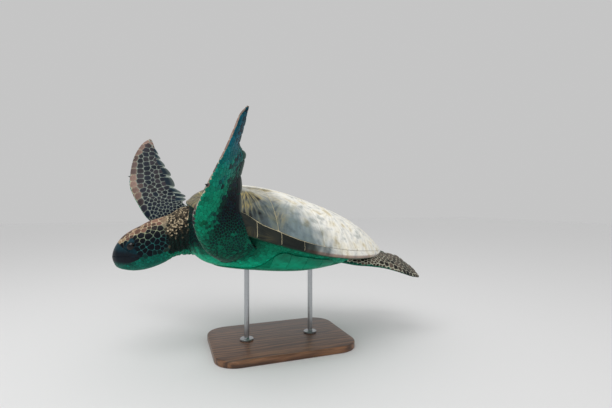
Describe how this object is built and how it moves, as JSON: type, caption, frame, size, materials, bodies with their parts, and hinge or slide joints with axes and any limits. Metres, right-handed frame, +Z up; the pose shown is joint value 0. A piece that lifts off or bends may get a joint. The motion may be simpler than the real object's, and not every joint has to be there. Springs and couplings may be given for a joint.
{
  "type": "green sea turtle",
  "caption": "Life-size still model of a green sea turtle swimming with both front flippers raised, held on two short rods over a flat base.",
  "frame": {"origin": "centre of the stand base's underside, on the floor", "axes": "+Z up; -Y the way the turtle swims, so +X is its left side"},
  "size_m": [0.6388, 0.8528, 0.6197],
  "materials": {
    "carapace": "keratin plates, pale and weathered, with olive and brown streaks",
    "plastron": "smooth satin keratin plates, green",
    "skin": "leathery skin under dark scales with cream edges, green below",
    "horn": "dark satin horn",
    "eye": "wet black eye with a dark brown iris",
    "stand_wood": "oiled walnut",
    "stand_metal": "brushed"
  },
  "bodies": {
    "root": {"carapace": "carapace", "plastron": "plastron", "trunk": "skin", "neck": "skin", "head": "skin", "upper_beak": "horn", "lower_beak": "horn", "eye_left": "eye", "eye_right": "eye", "front_flipper_left_arm": "skin", "front_flipper_left_blade": "skin", "front_flipper_right_arm": "skin", "front_flipper_right_blade": "skin", "hind_flipper_left": "skin", "hind_flipper_right": "skin", "tail": "skin", "claw_front_left": "horn", "claw_front_right": "horn", "claw_hind_left": "horn", "claw_hind_right": "horn", "stand_base": "stand_wood", "stand_rod_front": "stand_metal", "stand_rod_rear": "stand_metal"}
  },
  "joints": []
}
